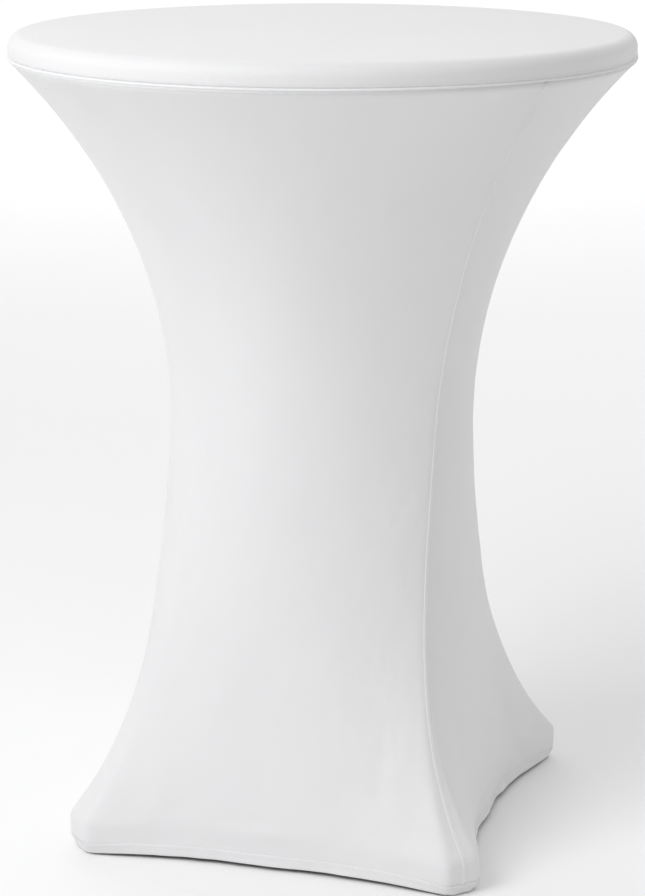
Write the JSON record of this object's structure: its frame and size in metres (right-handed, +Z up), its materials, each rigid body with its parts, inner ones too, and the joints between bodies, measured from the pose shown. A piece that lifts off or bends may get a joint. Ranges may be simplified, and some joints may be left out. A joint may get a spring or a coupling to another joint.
{
  "type": "stretch table cover on a bar table",
  "caption": "Round bar table in a white stretch cover: fitted round top, waisted skirt of two halves seamed down to two feet, hem between the feet and sewn foot pockets over glides.",
  "frame": {"origin": "on the floor, below the centre of the round top", "axes": "+Z up; the feet lie on the diagonals, so one side panel between two feet faces -Y and another faces +X"},
  "size_m": [0.84, 0.84, 1.1],
  "materials": {
    "cover_cloth": "matte knitted stretch cloth, white",
    "cover_seam": "overlocked seams and turned hems in the same white cloth",
    "pocket_cloth": "doubled white stretch cloth",
    "board_laminate": "satin laminate on particle board",
    "edge_plastic": "moulded rounded safety edge",
    "coated_steel": "grey powder coat",
    "bright_steel": "zinc plated",
    "black_plastic": "moulded nylon"
  },
  "bodies": {
    "table_and_cover": {"cover_top_panel": "cover_cloth", "cover_rim_seam": "cover_seam", "skirt_back_right": "cover_cloth", "hem_back_right": "cover_seam", "skirt_seam_front_right": "cover_seam", "skirt_front_left": "cover_cloth", "hem_front_left": "cover_seam", "skirt_seam_back_left": "cover_seam", "foot_pocket_front_right": "pocket_cloth", "foot_pocket_back_right": "pocket_cloth", "foot_pocket_back_left": "pocket_cloth", "foot_pocket_front_left": "pocket_cloth", "table_top_board": "board_laminate", "top_edge_band": "edge_plastic", "top_cross": "coated_steel", "column_tube": "coated_steel", "column_upper_collar": "coated_steel", "column_lower_collar": "coated_steel", "column_rosette": "bright_steel", "tie_rod": "bright_steel", "tie_rod_upper_washer": "bright_steel", "tie_rod_upper_nut": "bright_steel", "tie_rod_lower_washer": "bright_steel", "tie_rod_lower_nut": "bright_steel", "base_plate_upper": "coated_steel", "base_plate_lower": "coated_steel", "top_screw_front_right": "bright_steel", "base_arm_front_right": "coated_steel", "arm_bolt_front_right": "bright_steel", "arm_end_cap_front_right": "black_plastic", "glide_bush_front_right": "bright_steel", "top_screw_back_right": "bright_steel", "base_arm_back_right": "coated_steel", "arm_bolt_back_right": "bright_steel", "arm_end_cap_back_right": "black_plastic", "glide_bush_back_right": "bright_steel", "top_screw_back_left": "bright_steel", "base_arm_back_left": "coated_steel", "arm_bolt_back_left": "bright_steel", "arm_end_cap_back_left": "black_plastic", "glide_bush_back_left": "bright_steel", "top_screw_front_left": "bright_steel", "base_arm_front_left": "coated_steel", "arm_bolt_front_left": "bright_steel", "arm_end_cap_front_left": "black_plastic", "glide_bush_front_left": "bright_steel"},
    "glide_front_right": {"levelling_glide_front_right": "black_plastic"},
    "glide_back_right": {"levelling_glide_back_right": "black_plastic"},
    "glide_back_left": {"levelling_glide_back_left": "black_plastic"},
    "glide_front_left": {"levelling_glide_front_left": "black_plastic"}
  },
  "joints": [
    {"name": "glide_front_right_height", "type": "slide", "parent": "table_and_cover", "child": "glide_front_right", "axis": [0, 0, 1], "range_m": [0, 0.008]},
    {"name": "glide_back_right_height", "type": "slide", "parent": "table_and_cover", "child": "glide_back_right", "axis": [0, 0, 1], "range_m": [0, 0.008]},
    {"name": "glide_back_left_height", "type": "slide", "parent": "table_and_cover", "child": "glide_back_left", "axis": [0, 0, 1], "range_m": [0, 0.008]},
    {"name": "glide_front_left_height", "type": "slide", "parent": "table_and_cover", "child": "glide_front_left", "axis": [0, 0, 1], "range_m": [0, 0.008]}
  ]
}
